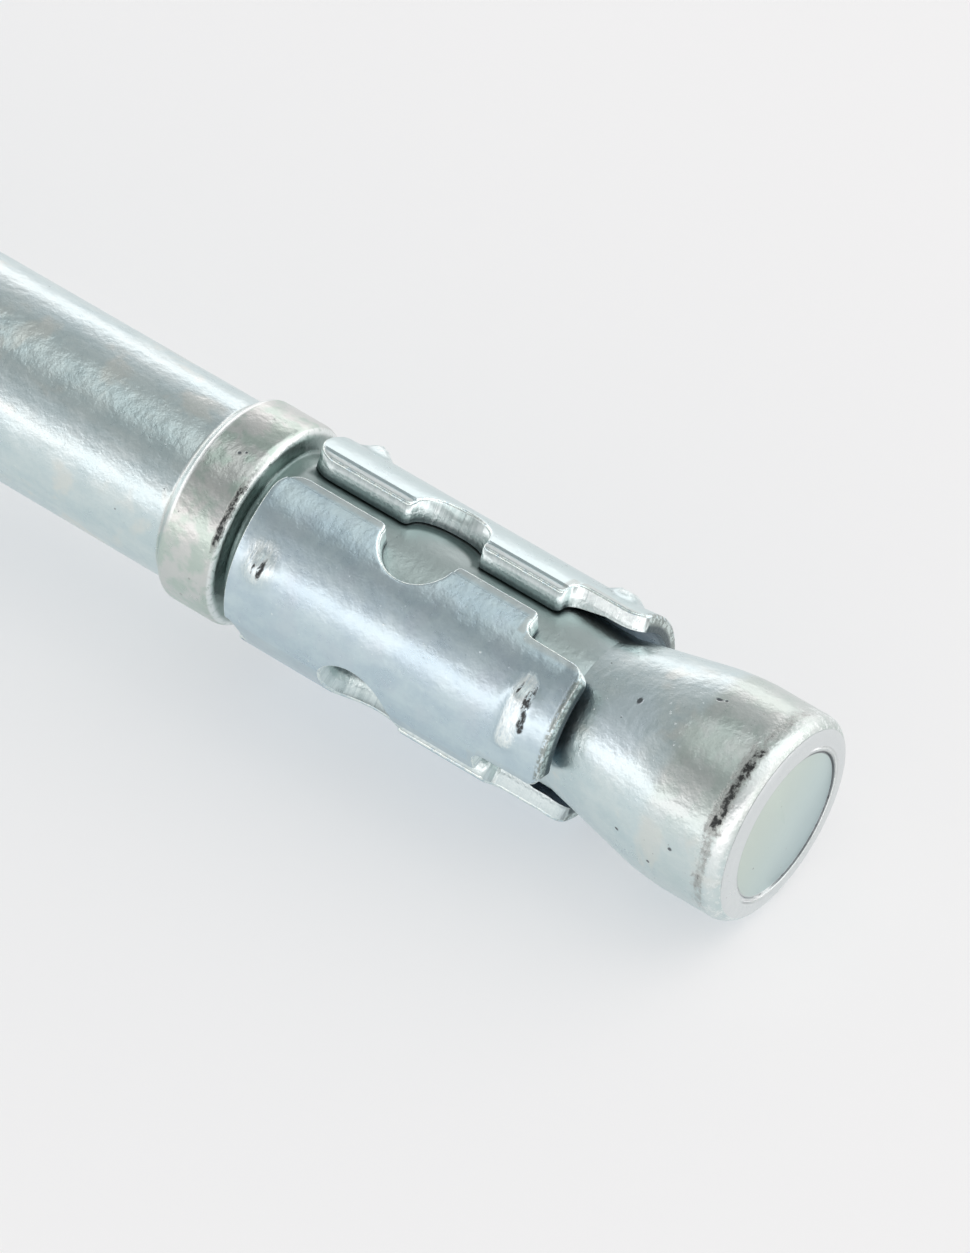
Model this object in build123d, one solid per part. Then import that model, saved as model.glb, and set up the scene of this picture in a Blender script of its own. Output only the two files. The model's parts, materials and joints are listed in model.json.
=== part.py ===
from build123d import *
import os
from math import asin, atan2, ceil, cos, degrees, pi, radians, sin, sqrt, tan

os.makedirs("parts", exist_ok=True)

# A wedge anchor lying on its side, in millimetres.  Each piece is first made upright on the
# anchor's own axis: height 0 is the flat end of the head, and the thread is at the top.

# bolt
overall_length = 110.0
thread_length = 50.0
thread_diameter = 11.9
thread_pitch = 1.75
thread_flank_angle = 60.0
thread_chamfer = 1.2
thread_runout = 5.0
thread_core_overlap = 0.05
shank_diameter = 10.7
collar_diameter = 12.0
collar_front = 32.92
collar_width = 3.4
collar_slope = 0.95
collar_front_round = 0.6
collar_back_round = 1.0
neck_diameter = 9.0
neck_fillet = 0.25
cone_foot = 12.05
cone_half_angle = 12.5
cone_blend = 12.0
head_diameter = 12.0
head_round = 1.0
end_disc_diameter = 8.6
end_disc_depth = 0.06

# clip
clip_thickness = 1.45
clip_clearance = 0.08
clip_length = 20.55
clip_play = 0.97
clip_edge_round = 0.12
lip_length = 1.2
lip_flare = 0.12
tip_relief_start = 4.6
tip_relief_length = 2.5
tip_relief_depth = 0.5
lobe_count = 3
seam_angle = 3.3
seam_gap = 2.0
slit_gap = 1.37
notch_radius = 2.3
notch_overhang = 0.12
notch_fillet = 0.35
seam_notch_from_collar_end = 8.8
slit_notch_from_collar_end = 8.45
corner_round = 1.5
tip_round = 1.0
cutout_half_width = 2.5
cutout_slope = 0.06
cutout_length = 4.2
cutout_round = 0.7
step_round = 0.35
seam_band_width = 0.56
seam_band_depth = 0.1
slit_band_width = 0.86
slit_band_depth = 0.04
end_dip_width = 3.2
end_dip_depth = 0.85

# raised bumps on each lobe
round_bump_radius = 1.3
round_bump_height = 0.5
round_bump_from_collar_end = 1.6
long_bump_half_width = 1.1
long_bump_height = 0.38
long_bump_length = 4.5
long_bump_from_cone_end = 2.5
bump_root = 0.2

# washer and nut
washer_diameter = 24.0
washer_bore_clearance = 0.55
washer_thickness = 2.5
washer_edge_round = 0.2
nut_across_flats = 19.0
nut_height = 10.0
nut_bore_clearance = 0.05
nut_countersink = 0.6
nut_chamfer_angle = 30.0
thread_standing_out = 4.0

head_radius = head_diameter / 2
neck_radius = neck_diameter / 2
shank_radius = shank_diameter / 2
collar_radius = collar_diameter / 2
thread_radius = thread_diameter / 2
thread_start = overall_length - thread_length
crest_width = thread_pitch / 8
root_width = thread_pitch / 6
flank_run = (thread_pitch - crest_width - root_width) / 2
root_radius = thread_radius - flank_run / tan(radians(thread_flank_angle / 2))
clip_bore = neck_radius + clip_clearance
clip_radius = clip_bore + clip_thickness
clip_top = collar_front - clip_play
clip_bottom = clip_top - clip_length
nut_top = overall_length - thread_standing_out
nut_seat = nut_top - nut_height
washer_seat = nut_seat - washer_thickness


def rounded(corners, roundings):
    """Flat face through the corners, with a radius at each corner that is named."""
    face = make_face(Polyline(*corners, close=True))
    for corner, radius in roundings:
        face = fillet(face.vertices().sort_by_distance(corner)[0], radius)
    return face


def turned(half_outline):
    """Solid of revolution about the axis: x of the outline is the radius, y the height."""
    return revolve(Plane.XZ * half_outline, Axis.Z)


def on_circle(centre, radius, angle):
    return (centre[0] + radius * cos(angle), centre[1] + radius * sin(angle))


def arc_step(centre, radius, start, end):
    """Middle and end point of an arc that begins at the path's last point."""
    return (on_circle(centre, radius, (start + end) / 2), on_circle(centre, radius, end))


def clip_angle(distance):
    """Angle in radians of a distance measured round the clip's outer face."""
    return distance / clip_radius


def thread_profile(height):
    """One turn of the thread from root to root, as corners of radius and height."""
    root_top = height + root_width
    crest_foot = root_top + flank_run
    crest_top = crest_foot + crest_width
    return [
        (root_radius, height),
        (root_radius, root_top),
        (thread_radius, crest_foot),
        (thread_radius, crest_top),
        (root_radius, height + thread_pitch),
    ]


def threaded_rod():
    """Right-hand thread in whole turns, with its core, that runs past both of its ends."""

    def helix(corner):
        radius, height = corner
        return Edge.make_helix(thread_pitch, thread_pitch, radius, center=(0, 0, height))

    spare_turns = 2
    turns = ceil(thread_length / thread_pitch) + 2 * spare_turns
    first = thread_start - spare_turns * thread_pitch - root_width / 2
    faces = []
    for turn in range(turns):
        rails = [helix(corner) for corner in thread_profile(first + turn * thread_pitch)]
        faces += [Face.make_surface_from_curves(*pair) for pair in zip(rails, rails[1:])]
    for turn in (0, turns):
        profile = thread_profile(first + turn * thread_pitch)
        foot, top = (0, 0, profile[0][1]), (0, 0, profile[-1][1])
        side = [(radius, 0, height) for radius, height in profile]
        faces.append(Face.make_surface_from_curves(Edge.make_line(foot, top), helix(profile[0])))
        faces.append(Face(Wire.make_polygon([foot, *side, top])))
    return Solid(Shell(faces))


def thread():
    """The bolt's thread, chamfered at 45 degrees where it starts and where it ends."""
    clear = thread_radius + thread_chamfer
    envelope = Polyline(
        (0, thread_start),
        (root_radius, thread_start),
        (clear, thread_start + clear - root_radius),
        (clear, overall_length - 2 * thread_chamfer),
        (thread_radius - thread_chamfer, overall_length),
        (0, overall_length),
        close=True,
    )
    return threaded_rod() & turned(make_face(envelope))


def anchor_body():
    cone_head = cone_foot - (head_radius - neck_radius) / tan(radians(cone_half_angle))
    collar_back = collar_front + collar_width
    end_edge = (head_radius, 0)
    cone_edge = (head_radius, cone_head)
    neck_foot = (neck_radius, cone_foot)
    neck_head = (neck_radius, collar_front)
    collar_front_edge = (collar_radius, collar_front)
    collar_back_edge = (collar_radius, collar_back)
    shank_foot = (shank_radius, collar_back + collar_slope)
    outline = rounded(
        [
            (0, end_disc_depth),
            (end_disc_diameter / 2, end_disc_depth),
            (end_disc_diameter / 2, 0),
            end_edge,
            cone_edge,
            neck_foot,
            neck_head,
            collar_front_edge,
            collar_back_edge,
            shank_foot,
            (shank_radius, thread_start),
            (root_radius - thread_core_overlap, thread_start + thread_runout),
            (0, thread_start + thread_runout),
        ],
        [
            (end_edge, head_round),
            (cone_edge, cone_blend),
            (neck_foot, neck_fillet),
            (neck_head, neck_fillet),
            (collar_front_edge, collar_front_round),
            (collar_back_edge, collar_back_round),
            (shank_foot, collar_back_round),
        ],
    )
    return turned(outline) + thread()


def radial_cutter(path, angle):
    """Solid that cuts one opening through the clip's wall, square to the sheet.

    path runs down one half of the opening, whose other half mirrors it.  A point is its
    distance round the clip from the opening's middle, and its height.  A step with two
    points is an arc: its middle and its end.
    """
    wires = []
    for depth in (clip_bore / 2, clip_radius * 2):
        edges = []
        for side in (1, -1):

            def placed(point):
                return (depth, side * depth * tan(clip_angle(point[0])), point[1])

            here = path[0]
            for step in path[1:]:
                if isinstance(step[0], tuple):
                    middle, end = step
                    edges.append(ThreePointArc(placed(here), placed(middle), placed(end)))
                else:
                    end = step
                    edges.append(Line(placed(here), placed(end)))
                here = end
        for end in (path[0], here):
            if end[0] > 0:
                across = depth * tan(clip_angle(end[0]))
                edges.append(Line((depth, -across, end[1]), (depth, across, end[1])))
        wires.append(Wire(edges))
    return Rot(Z=angle) * Solid.make_loft(wires, ruled=True)


def notch(gap, height):
    """Centre of a half-round notch, where its mouth fillets touch it, and those fillets."""
    edge = gap / 2
    centre = (edge + notch_overhang, height)
    reach = notch_radius + notch_fillet
    across = notch_fillet - notch_overhang
    rise = sqrt(reach**2 - across**2)
    touch = atan2(rise, across)
    upper = (edge + notch_fillet, height + rise)
    lower = (edge + notch_fillet, height - rise)
    return centre, touch, upper, lower


def cone_end_path(gap):
    """Steps down a slit, out into the wide cut-out, round the lobe's corner and off the end."""
    edge = gap / 2
    side = cutout_half_width
    wide = side + cutout_slope
    cutout_top = clip_bottom + cutout_length
    step = (edge + step_round, cutout_top + step_round)
    inner = (side - cutout_round, cutout_top - cutout_round)
    corner = (wide + tip_round, clip_bottom + tip_round)
    return [
        (edge, step[1]),
        arc_step(step, step_round, pi, 3 * pi / 2),
        (inner[0], cutout_top),
        arc_step(inner, cutout_round, pi / 2, 0),
        (wide, clip_bottom + tip_round),
        arc_step(corner, tip_round, pi, 3 * pi / 2),
        (wide + tip_round, clip_bottom - clip_thickness),
    ]


def seam_cutter(angle):
    """The open seam, from end to end of the clip."""
    edge = seam_gap / 2
    height = clip_top - seam_notch_from_collar_end
    centre, touch, upper, lower = notch(seam_gap, height)
    corner = (edge + corner_round, clip_top - corner_round)
    path = [
        (edge + corner_round, clip_top + clip_thickness),
        (edge + corner_round, clip_top),
        arc_step(corner, corner_round, pi / 2, pi),
        (edge, upper[1]),
        arc_step(upper, notch_fillet, pi, pi + touch),
        arc_step(centre, notch_radius, touch, -touch),
        arc_step(lower, notch_fillet, pi - touch, pi),
        *cone_end_path(seam_gap),
    ]
    return radial_cutter(path, angle)


def slit_cutter(angle):
    """A slit between two lobes, which stay joined from its notch to the collar end."""
    height = clip_top - slit_notch_from_collar_end
    centre, touch, _, lower = notch(slit_gap, height)
    path = [
        on_circle(centre, notch_radius, pi / 2),
        arc_step(centre, notch_radius, pi / 2, -touch),
        arc_step(lower, notch_fillet, pi - touch, pi),
        *cone_end_path(slit_gap),
    ]
    return radial_cutter(path, angle)


def end_dip_cutter(angle):
    """Shallow dip in the collar end of the clip where two lobes stay joined."""
    half = end_dip_width / 2
    radius = (half**2 + end_dip_depth**2) / (2 * end_dip_depth)
    centre = (0, clip_top - end_dip_depth + radius)
    path = [
        (half, clip_top + clip_thickness),
        (half, clip_top),
        arc_step(centre, radius, asin(half / radius) - pi / 2, -pi / 2),
    ]
    return radial_cutter(path, angle)


def band_cutter(gap, width, depth, angle):
    """Thin layer pressed into the sheet along both sides of a seam or slit."""
    half_angle = degrees(clip_angle(gap / 2 + width))
    low = clip_bottom + cutout_length
    middle = (clip_radius - depth + clip_thickness / 2, (clip_top + low) / 2)
    section = Plane.XZ * Pos(*middle) * Rectangle(clip_thickness, clip_top - low)
    return Rot(Z=angle - half_angle) * revolve(section, Axis.Z, 2 * half_angle)


def bump_sphere(half_width, height):
    """Radius of the ball that stands out of the sheet by height, and its distance out."""
    radius = (half_width**2 + height**2) / (2 * height)
    return radius, clip_radius + height - radius


def bumps(angle):
    """The round and the long bump of one lobe, trimmed just under the sheet's face."""
    ball, ball_out = bump_sphere(round_bump_radius, round_bump_height)
    pressed = Pos(ball_out, 0, clip_top - round_bump_from_collar_end) * Sphere(ball)
    ridge, ridge_out = bump_sphere(long_bump_half_width, long_bump_height)
    ridge_height = clip_bottom + long_bump_from_cone_end
    half_angle = degrees(clip_angle(long_bump_length / 2 - long_bump_half_width))
    tube = Plane.XZ * Pos(ridge_out, ridge_height) * Circle(ridge)
    pressed += Rot(Z=-half_angle) * revolve(tube, Axis.Z, 2 * half_angle)
    for end_angle in (-half_angle, half_angle):
        pressed += Rot(Z=end_angle) * Pos(ridge_out, 0, ridge_height) * Sphere(ridge)
    middle = (clip_top + clip_bottom) / 2
    core = Pos(0, 0, middle) * Cylinder(clip_radius - bump_root, 2 * clip_length)
    return Rot(Z=angle) * (pressed - core)


def expansion_clip():
    lip_top = clip_bottom + lip_length
    relief_top = clip_bottom + tip_relief_start
    relieved_bore = clip_bore + tip_relief_depth
    outer_edge = (clip_radius, clip_top)
    lip_edge = (clip_radius + lip_flare, clip_bottom)
    outline = rounded(
        [
            (clip_bore, clip_top),
            outer_edge,
            (clip_radius, lip_top),
            lip_edge,
            (relieved_bore + lip_flare, clip_bottom),
            (relieved_bore, relief_top - tip_relief_length),
            (clip_bore, relief_top),
        ],
        [(outer_edge, clip_edge_round), (lip_edge, clip_edge_round)],
    )
    pitch = 360 / lobe_count
    openings = [
        band_cutter(seam_gap, seam_band_width, seam_band_depth, seam_angle),
        seam_cutter(seam_angle),
    ]
    for index in range(1, lobe_count):
        angle = seam_angle + index * pitch
        openings.append(band_cutter(slit_gap, slit_band_width, slit_band_depth, angle))
        openings += [slit_cutter(angle), end_dip_cutter(angle)]
    lobes = [bumps(seam_angle + (index + 0.5) * pitch) for index in range(lobe_count)]
    return turned(outline) - openings + lobes


def washer():
    bore = thread_radius + washer_bore_clearance
    rim = washer_diameter / 2
    low, high = (rim, washer_seat), (rim, nut_seat)
    outline = rounded(
        [(bore, washer_seat), low, high, (bore, nut_seat)],
        [(low, washer_edge_round), (high, washer_edge_round)],
    )
    return turned(outline)


def hex_nut():
    flat = nut_across_flats / 2
    corner = flat / cos(pi / 6)
    drop = (corner - flat) * tan(radians(nut_chamfer_angle))
    bore = thread_radius + nut_bore_clearance
    mouth = bore + nut_countersink
    hexagon = RegularPolygon(flat, 6, major_radius=False)
    prism = Pos(0, 0, nut_seat) * extrude(hexagon, nut_height)
    chamfered = Polyline(
        (0, nut_seat),
        (flat, nut_seat),
        (corner, nut_seat + drop),
        (corner, nut_top - drop),
        (flat, nut_top),
        (0, nut_top),
        close=True,
    )
    hole = Polyline(
        (0, nut_seat),
        (mouth, nut_seat),
        (bore, nut_seat + nut_countersink),
        (bore, nut_top - nut_countersink),
        (mouth, nut_top),
        (0, nut_top),
        close=True,
    )
    return (prism & turned(make_face(chamfered))) - turned(make_face(hole))


def laid_down(upright):
    """Lay the upright pieces on the floor, resting on the head's edge and the washer's rim."""
    contact_span = washer_seat + washer_edge_round - head_round
    contact_rise = washer_diameter / 2 - washer_edge_round - (head_radius - head_round)
    slope = atan2(contact_rise, contact_span)
    tilt = slope + asin((washer_edge_round - head_round) / sqrt(contact_rise**2 + contact_span**2))
    lying = Plane(
        origin=(0, 0, 0),
        x_dir=(sin(tilt), 0, cos(tilt)),
        z_dir=(-cos(tilt), 0, sin(tilt)),
    )
    placed = {name: lying.location * piece for name, piece in upright.items()}
    box = Compound(children=[Compound([piece]) for piece in placed.values()]).bounding_box()
    centre = box.center()
    to_origin = Pos(-centre.X, -centre.Y, -box.min.Z)
    return {name: to_origin * piece for name, piece in placed.items()}


pieces = laid_down(
    {
        "anchor_body": anchor_body(),
        "expansion_clip": expansion_clip(),
        "washer": washer(),
        "hex_nut": hex_nut(),
    }
)
for name, piece in pieces.items():
    export_step(piece, f"parts/{name}.step")
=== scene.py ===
# A wedge anchor lying on a pale floor. Each piece is modelled upright in millimetres on the
# anchor's own axis, with the flat end of the head at height 0, then laid down in the frame.
import json
from math import asin, atan2, cos, degrees, hypot, pi, radians, sin, sqrt, tan

import bpy
from mathutils import Matrix, Vector


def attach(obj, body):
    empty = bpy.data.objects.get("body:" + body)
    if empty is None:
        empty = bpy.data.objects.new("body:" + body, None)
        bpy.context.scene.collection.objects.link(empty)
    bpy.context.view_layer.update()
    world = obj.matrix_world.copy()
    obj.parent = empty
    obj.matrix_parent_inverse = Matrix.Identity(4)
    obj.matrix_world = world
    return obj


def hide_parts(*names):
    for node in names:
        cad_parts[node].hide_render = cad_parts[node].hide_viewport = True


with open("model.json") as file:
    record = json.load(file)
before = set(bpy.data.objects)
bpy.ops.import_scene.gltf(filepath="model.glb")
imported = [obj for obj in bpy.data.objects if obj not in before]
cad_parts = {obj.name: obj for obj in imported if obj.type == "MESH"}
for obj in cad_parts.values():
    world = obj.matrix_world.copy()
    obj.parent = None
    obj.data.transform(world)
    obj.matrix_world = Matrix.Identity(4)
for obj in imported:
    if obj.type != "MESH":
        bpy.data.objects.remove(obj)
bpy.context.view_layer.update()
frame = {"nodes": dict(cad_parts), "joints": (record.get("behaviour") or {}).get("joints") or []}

# where the anchor's axis lies, from the clip's hinge and the body's own end face
clipHinge = next(joint for joint in frame["joints"] if joint["name"] == "clip_turn")
towardsHead = Vector(clipHinge["axis"]).normalized()
acrossAnchor = Vector((0, 1, 0))
awayFromFloor = towardsHead.cross(acrossAnchor)
hingePoint = Vector(clipHinge["pos_m"])
headReach = max((v.co - hingePoint).dot(towardsHead) for v in frame["nodes"]["anchor_body"].data.vertices)
endCentre = hingePoint + towardsHead * headReach
lyingFrame = Matrix.Translation(endCentre) @ Matrix(
    (awayFromFloor, acrossAnchor, -towardsHead)
).transposed().to_4x4()


def only(piece):
    bpy.ops.object.select_all(action="DESELECT")
    piece.select_set(True)
    bpy.context.view_layer.objects.active = piece


def editing(piece, kind="VERT"):
    only(piece)
    bpy.ops.object.mode_set(mode="EDIT")
    bpy.ops.mesh.select_mode(type=kind)


def doneEditing():
    bpy.ops.object.mode_set(mode="OBJECT")


def selectAll():
    bpy.ops.mesh.select_all(action="SELECT")


def pick(piece, kind, test):
    # selects the vertices, edges or faces whose middle passes the test, and stays in edit mode
    bpy.ops.mesh.select_mode(type=kind)
    bpy.ops.mesh.select_all(action="DESELECT")
    doneEditing()
    mesh = piece.data
    if kind == "VERT":
        for vertex in mesh.vertices:
            vertex.select = test(vertex.co)
    elif kind == "EDGE":
        for edge in mesh.edges:
            ends = [mesh.vertices[index].co for index in edge.vertices]
            edge.select = test((ends[0] + ends[1]) / 2)
    else:
        for face in mesh.polygons:
            face.select = test(face.center)
    bpy.ops.object.mode_set(mode="EDIT")


class Pen:
    # draws a piece's outline edge by edge in the plane of radius or distance (x) and height (z)
    def __init__(self, name, x, z):
        bpy.ops.mesh.primitive_plane_add(size=1, location=(0, 0, 0))
        self.piece = bpy.context.object
        self.piece.name = self.piece.data.name = name
        bpy.ops.object.mode_set(mode="EDIT")
        bpy.ops.mesh.select_mode(type="VERT")
        bpy.ops.mesh.merge(type="CENTER")
        bpy.ops.transform.translate(value=(x, 0, z))
        self.x, self.z = x, z

    def line(self, x, z):
        step = (x - self.x, 0, z - self.z)
        bpy.ops.mesh.extrude_vertices_move(TRANSFORM_OT_translate={"value": step})
        self.x, self.z = x, z

    def arc(self, x, z, turn, steps):
        # turns about the point x, z by an angle in degrees, positive from x towards z
        bpy.ops.mesh.spin(steps=steps, angle=radians(turn), center=(x, 0, z), axis=(0, 1, 0))
        across, up = self.x - x, self.z - z
        angle = radians(turn)
        self.x = x + across * cos(angle) - up * sin(angle)
        self.z = z + across * sin(angle) + up * cos(angle)

    def close(self):
        selectAll()
        bpy.ops.mesh.remove_doubles(threshold=1e-4)
        bpy.ops.mesh.edge_face_add()
        return self.piece


def outline(name, *corners):
    # a closed flat outline through its corners, each an x and a z
    pen = Pen(name, *corners[0])
    for corner in corners[1:]:
        pen.line(*corner)
    return pen.close()


def roundCorner(piece, x, z, radius, segments):
    # rounds one corner of a flat outline
    mesh = piece.data
    doneEditing()
    corner = min(mesh.vertices, key=lambda v: hypot(v.co.x - x, v.co.z - z))
    arms = []
    for edge in mesh.edges:
        if corner.index in edge.vertices:
            other = edge.vertices[0] + edge.vertices[1] - corner.index
            arms.append((mesh.vertices[other].co - corner.co).normalized())
    half = arms[0].angle(arms[1]) / 2
    place = corner.co.copy()
    bpy.ops.object.mode_set(mode="EDIT")
    pick(piece, "VERT", lambda co: (co - place).length < 1e-5)
    bpy.ops.mesh.bevel(offset=radius / tan(half), affect="VERTICES", segments=segments, profile=0.5)
    selectAll()


def turned(piece, steps):
    # spins a closed outline about the anchor's axis, without the edge that lies on it
    selectAll()
    bpy.ops.mesh.delete(type="ONLY_FACE")
    pick(piece, "EDGE", lambda co: co.x < 1e-6)
    bpy.ops.mesh.delete(type="EDGE")
    selectAll()
    bpy.ops.mesh.spin(steps=steps, angle=2 * pi, center=(0, 0, 0), axis=(0, 0, 1))
    tidied()


def tidied():
    # welds what meets, and turns all faces outwards
    selectAll()
    bpy.ops.mesh.remove_doubles(threshold=1e-4)
    bpy.ops.mesh.dissolve_degenerate(threshold=1e-5)
    selectAll()
    bpy.ops.mesh.normals_make_consistent(inside=False)
    doneEditing()


def settled(piece):
    # gives the mesh its object's place, turn and scale
    only(piece)
    bpy.ops.object.transform_apply(location=True, rotation=True, scale=True)


def applied(piece, kind, **settings):
    only(piece)
    modifier = piece.modifiers.new(kind.title(), kind)
    for name, value in settings.items():
        setattr(modifier, name, value)
    bpy.ops.object.modifier_apply(modifier=modifier.name)


def combined(piece, tool, operation):
    applied(piece, "BOOLEAN", operation=operation, object=tool, solver="EXACT")
    bpy.data.objects.remove(tool)


def copyOf(piece, name):
    twin = piece.copy()
    twin.data = piece.data.copy()
    twin.name = twin.data.name = name
    bpy.context.scene.collection.objects.link(twin)
    return twin


smoothUpTo = 35  # degrees between two faces that are shaded as one


def laidDown(piece, body, node):
    # brings an upright piece in millimetres to its place in the frame
    piece.matrix_world = lyingFrame @ Matrix.Diagonal((0.001, 0.001, 0.001, 1))
    settled(piece)
    bpy.ops.object.shade_smooth_by_angle(angle=radians(smoothUpTo))
    applied(piece, "WEIGHTED_NORMAL", keep_sharp=True)
    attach(piece, body)
    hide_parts(node)


thread = {
    "pitch": 1.75, "crestRadius": 5.95, "rootRadius": 4.877,
    "crestWidth": 0.219, "rootWidth": 0.292,
    "edge": 0.04,  # how far the crests' and roots' corners are eased
    "start": 60.0, "end": 110.0, "spareTurns": 2, "steps": 60,
}


def threadedRod(name, growth, low, high):
    # a long right-hand thread, growth wider than the bolt's own, closed at both ends
    pitch, edge = thread["pitch"], thread["edge"]
    crest, root = thread["crestRadius"] + growth, thread["rootRadius"] + growth
    halfCrest, halfRoot = thread["crestWidth"] / 2, thread["rootWidth"] / 2
    turns = int((high - low) / pitch)
    # one flank from root to crest, and its mirror image down to the next root
    flank = (
        (root + edge / 3, halfRoot - edge),
        (root + edge * 1.5, halfRoot + edge / 2),
        (crest - edge, pitch / 2 - halfCrest - edge / 2),
        (crest, pitch / 2 - halfCrest + edge / 2),
    )
    pen = Pen(name, root, low)
    for radius, rise in flank:
        pen.line(radius, low + rise)
    for radius, rise in reversed(flank):
        pen.line(radius, low + pitch - rise)
    pen.line(root, low + pitch)
    doneEditing()
    applied(
        pen.piece, "SCREW", angle=2 * pi, screw_offset=pitch, iterations=turns,
        steps=thread["steps"], render_steps=thread["steps"],
        use_merge_vertices=True, merge_threshold=1e-4,
    )
    editing(pen.piece)
    selectAll()
    bpy.ops.mesh.remove_doubles(threshold=1e-3)
    mesh = pen.piece.data
    middle = low + turns * pitch / 2
    for beyond in (low - pitch, low + (turns + 1) * pitch):
        # each open end is drawn together to a point on the axis
        bpy.ops.mesh.select_all(action="DESELECT")
        bpy.ops.mesh.select_non_manifold(
            use_wire=False, use_boundary=True, use_multi_face=False,
            use_non_contiguous=False, use_verts=False,
        )
        doneEditing()
        for vertex in mesh.vertices:
            if (vertex.co.z > middle) != (beyond > middle):
                vertex.select = False
        for side in mesh.edges:
            side.select = all(mesh.vertices[index].select for index in side.vertices)
        bpy.ops.object.mode_set(mode="EDIT")
        bpy.ops.mesh.extrude_edges_move(TRANSFORM_OT_translate={"value": (0, 0, 0)})
        bpy.ops.mesh.merge(type="CENTER")
        doneEditing()
        tip = next(vertex for vertex in mesh.vertices if vertex.select)
        tip.co = (0, 0, beyond)
        bpy.ops.object.mode_set(mode="EDIT")
    tidied()
    return pen.piece


bolt = {
    "discRadius": 4.3, "discDepth": 0.06, "creaseWidth": 0.1, "creaseDepth": 0.1,
    "headRadius": 6.0, "headRound": 1.0,
    "coneHead": 5.284, "coneFoot": 12.05, "coneBlend": 12.0,
    "neckRadius": 4.5, "neckFillet": 0.25,
    "collarRadius": 6.0, "collarFront": 32.92, "collarBack": 36.32,
    "collarSlope": 0.5, "collarFrontRound": 0.6, "collarBackRound": 0.45,
    "shankRadius": 5.35, "coreReach": 5.0, "corePlay": 0.05,
    "blankPlay": 0.3, "chamfer": 1.2, "steps": 180,
}


def turnedBody():
    # the bolt without its thread, and with a core that reaches into it
    disc, head, neck = bolt["discRadius"], bolt["headRadius"], bolt["neckRadius"]
    collar, shank = bolt["collarRadius"], bolt["shankRadius"]
    slopeFoot = bolt["collarBack"] + bolt["collarSlope"]
    coreEnd = thread["start"] + bolt["coreReach"]
    body = outline(
        "anchorBolt", (0, bolt["discDepth"]), (disc - bolt["creaseWidth"], bolt["discDepth"]),
        (disc - bolt["creaseWidth"] / 3, bolt["creaseDepth"]), (disc, 0), (head, 0),
        (head, bolt["coneHead"]), (neck, bolt["coneFoot"]), (neck, bolt["collarFront"]),
        (collar, bolt["collarFront"]), (collar, bolt["collarBack"]), (shank, slopeFoot),
        (shank, thread["start"]), (thread["rootRadius"] - bolt["corePlay"], coreEnd), (0, coreEnd),
    )
    for x, z, radius, segments in (
        (head, 0, bolt["headRound"], 10), (head, bolt["coneHead"], bolt["coneBlend"], 8),
        (neck, bolt["coneFoot"], bolt["neckFillet"], 4),
        (neck, bolt["collarFront"], bolt["neckFillet"], 4),
        (collar, bolt["collarFront"], bolt["collarFrontRound"], 7),
        (collar, bolt["collarBack"], bolt["collarBackRound"], 7),
        (shank, slopeFoot, bolt["collarBackRound"], 5),
    ):
        roundCorner(body, x, z, radius, segments)
    turned(body, bolt["steps"])
    return body


def chamferedThread():
    # chamfered at 45 degrees where it starts and where it ends
    start, end = thread["start"], thread["end"]
    crest, root = thread["crestRadius"], thread["rootRadius"]
    spare = thread["spareTurns"] * thread["pitch"]
    clear = crest + bolt["blankPlay"]
    rod = threadedRod("rolledThread", 0, start - spare, end + spare)
    blank = outline(
        "threadBlank", (0, start), (root, start), (clear, start + clear - root),
        (clear, end - bolt["chamfer"] - (clear - crest)), (crest - bolt["chamfer"], end), (0, end),
    )
    turned(blank, thread["steps"] * 2)
    combined(rod, blank, "INTERSECT")
    return rod


def makeBolt():
    body = turnedBody()
    combined(body, chamferedThread(), "UNION")
    return body


washer = {
    "outerRadius": 12.0, "boreRadius": 6.5,
    "seat": 93.5, "thickness": 2.5,
    "rollOver": 0.45, "edge": 0.1, "steps": 160,
}


def makeWasher():
    outer, bore = washer["outerRadius"], washer["boreRadius"]
    low, high = washer["seat"], washer["seat"] + washer["thickness"]
    ring = outline("flatWasher", (bore, low), (outer, low), (outer, high), (bore, high))
    for x, z, radius in (
        (outer, high, washer["rollOver"]), (bore, high, washer["rollOver"] / 2),
        (outer, low, washer["edge"] * 2), (bore, low, washer["edge"]),
    ):
        roundCorner(ring, x, z, radius, 5)
    turned(ring, washer["steps"])
    return ring


nut = {
    "acrossFlats": 19.0, "seat": 96.0, "height": 10.0,
    "chamferAngle": 30.0, "faceShare": 0.985, "cornerRound": 0.35, "edgeRound": 0.15,
    "mouth": 6.55, "bore": 5.2, "threadPlay": 0.12, "tapReach": 4.0, "steps": 144,
}


def chamferedHexagon(low, high):
    flat = nut["acrossFlats"] / 2
    corner = flat / cos(pi / 6)
    drop = (corner - flat) * tan(radians(nut["chamferAngle"]))
    middle = (low + high) / 2
    bpy.ops.mesh.primitive_cylinder_add(
        vertices=6, radius=corner, depth=high - low, location=(0, 0, middle), rotation=(0, 0, pi / 6)
    )
    hexagon = bpy.context.object
    hexagon.name = hexagon.data.name = "hexNut"
    settled(hexagon)
    editing(hexagon, "EDGE")
    pick(hexagon, "EDGE", lambda co: abs(co.z - middle) < 0.01)
    bpy.ops.mesh.bevel(offset=nut["cornerRound"], segments=3, affect="EDGES")
    doneEditing()

    # the round envelope that chamfers its corners
    face = flat * nut["faceShare"]
    envelope = outline(
        "nutEnvelope", (0, low), (face, low), (corner, low + drop), (corner, high - drop),
        (face, high), (0, high),
    )
    for z in (low, high):
        roundCorner(envelope, face, z, nut["edgeRound"], 3)
    turned(envelope, nut["steps"])
    combined(hexagon, envelope, "INTERSECT")
    return hexagon


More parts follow.
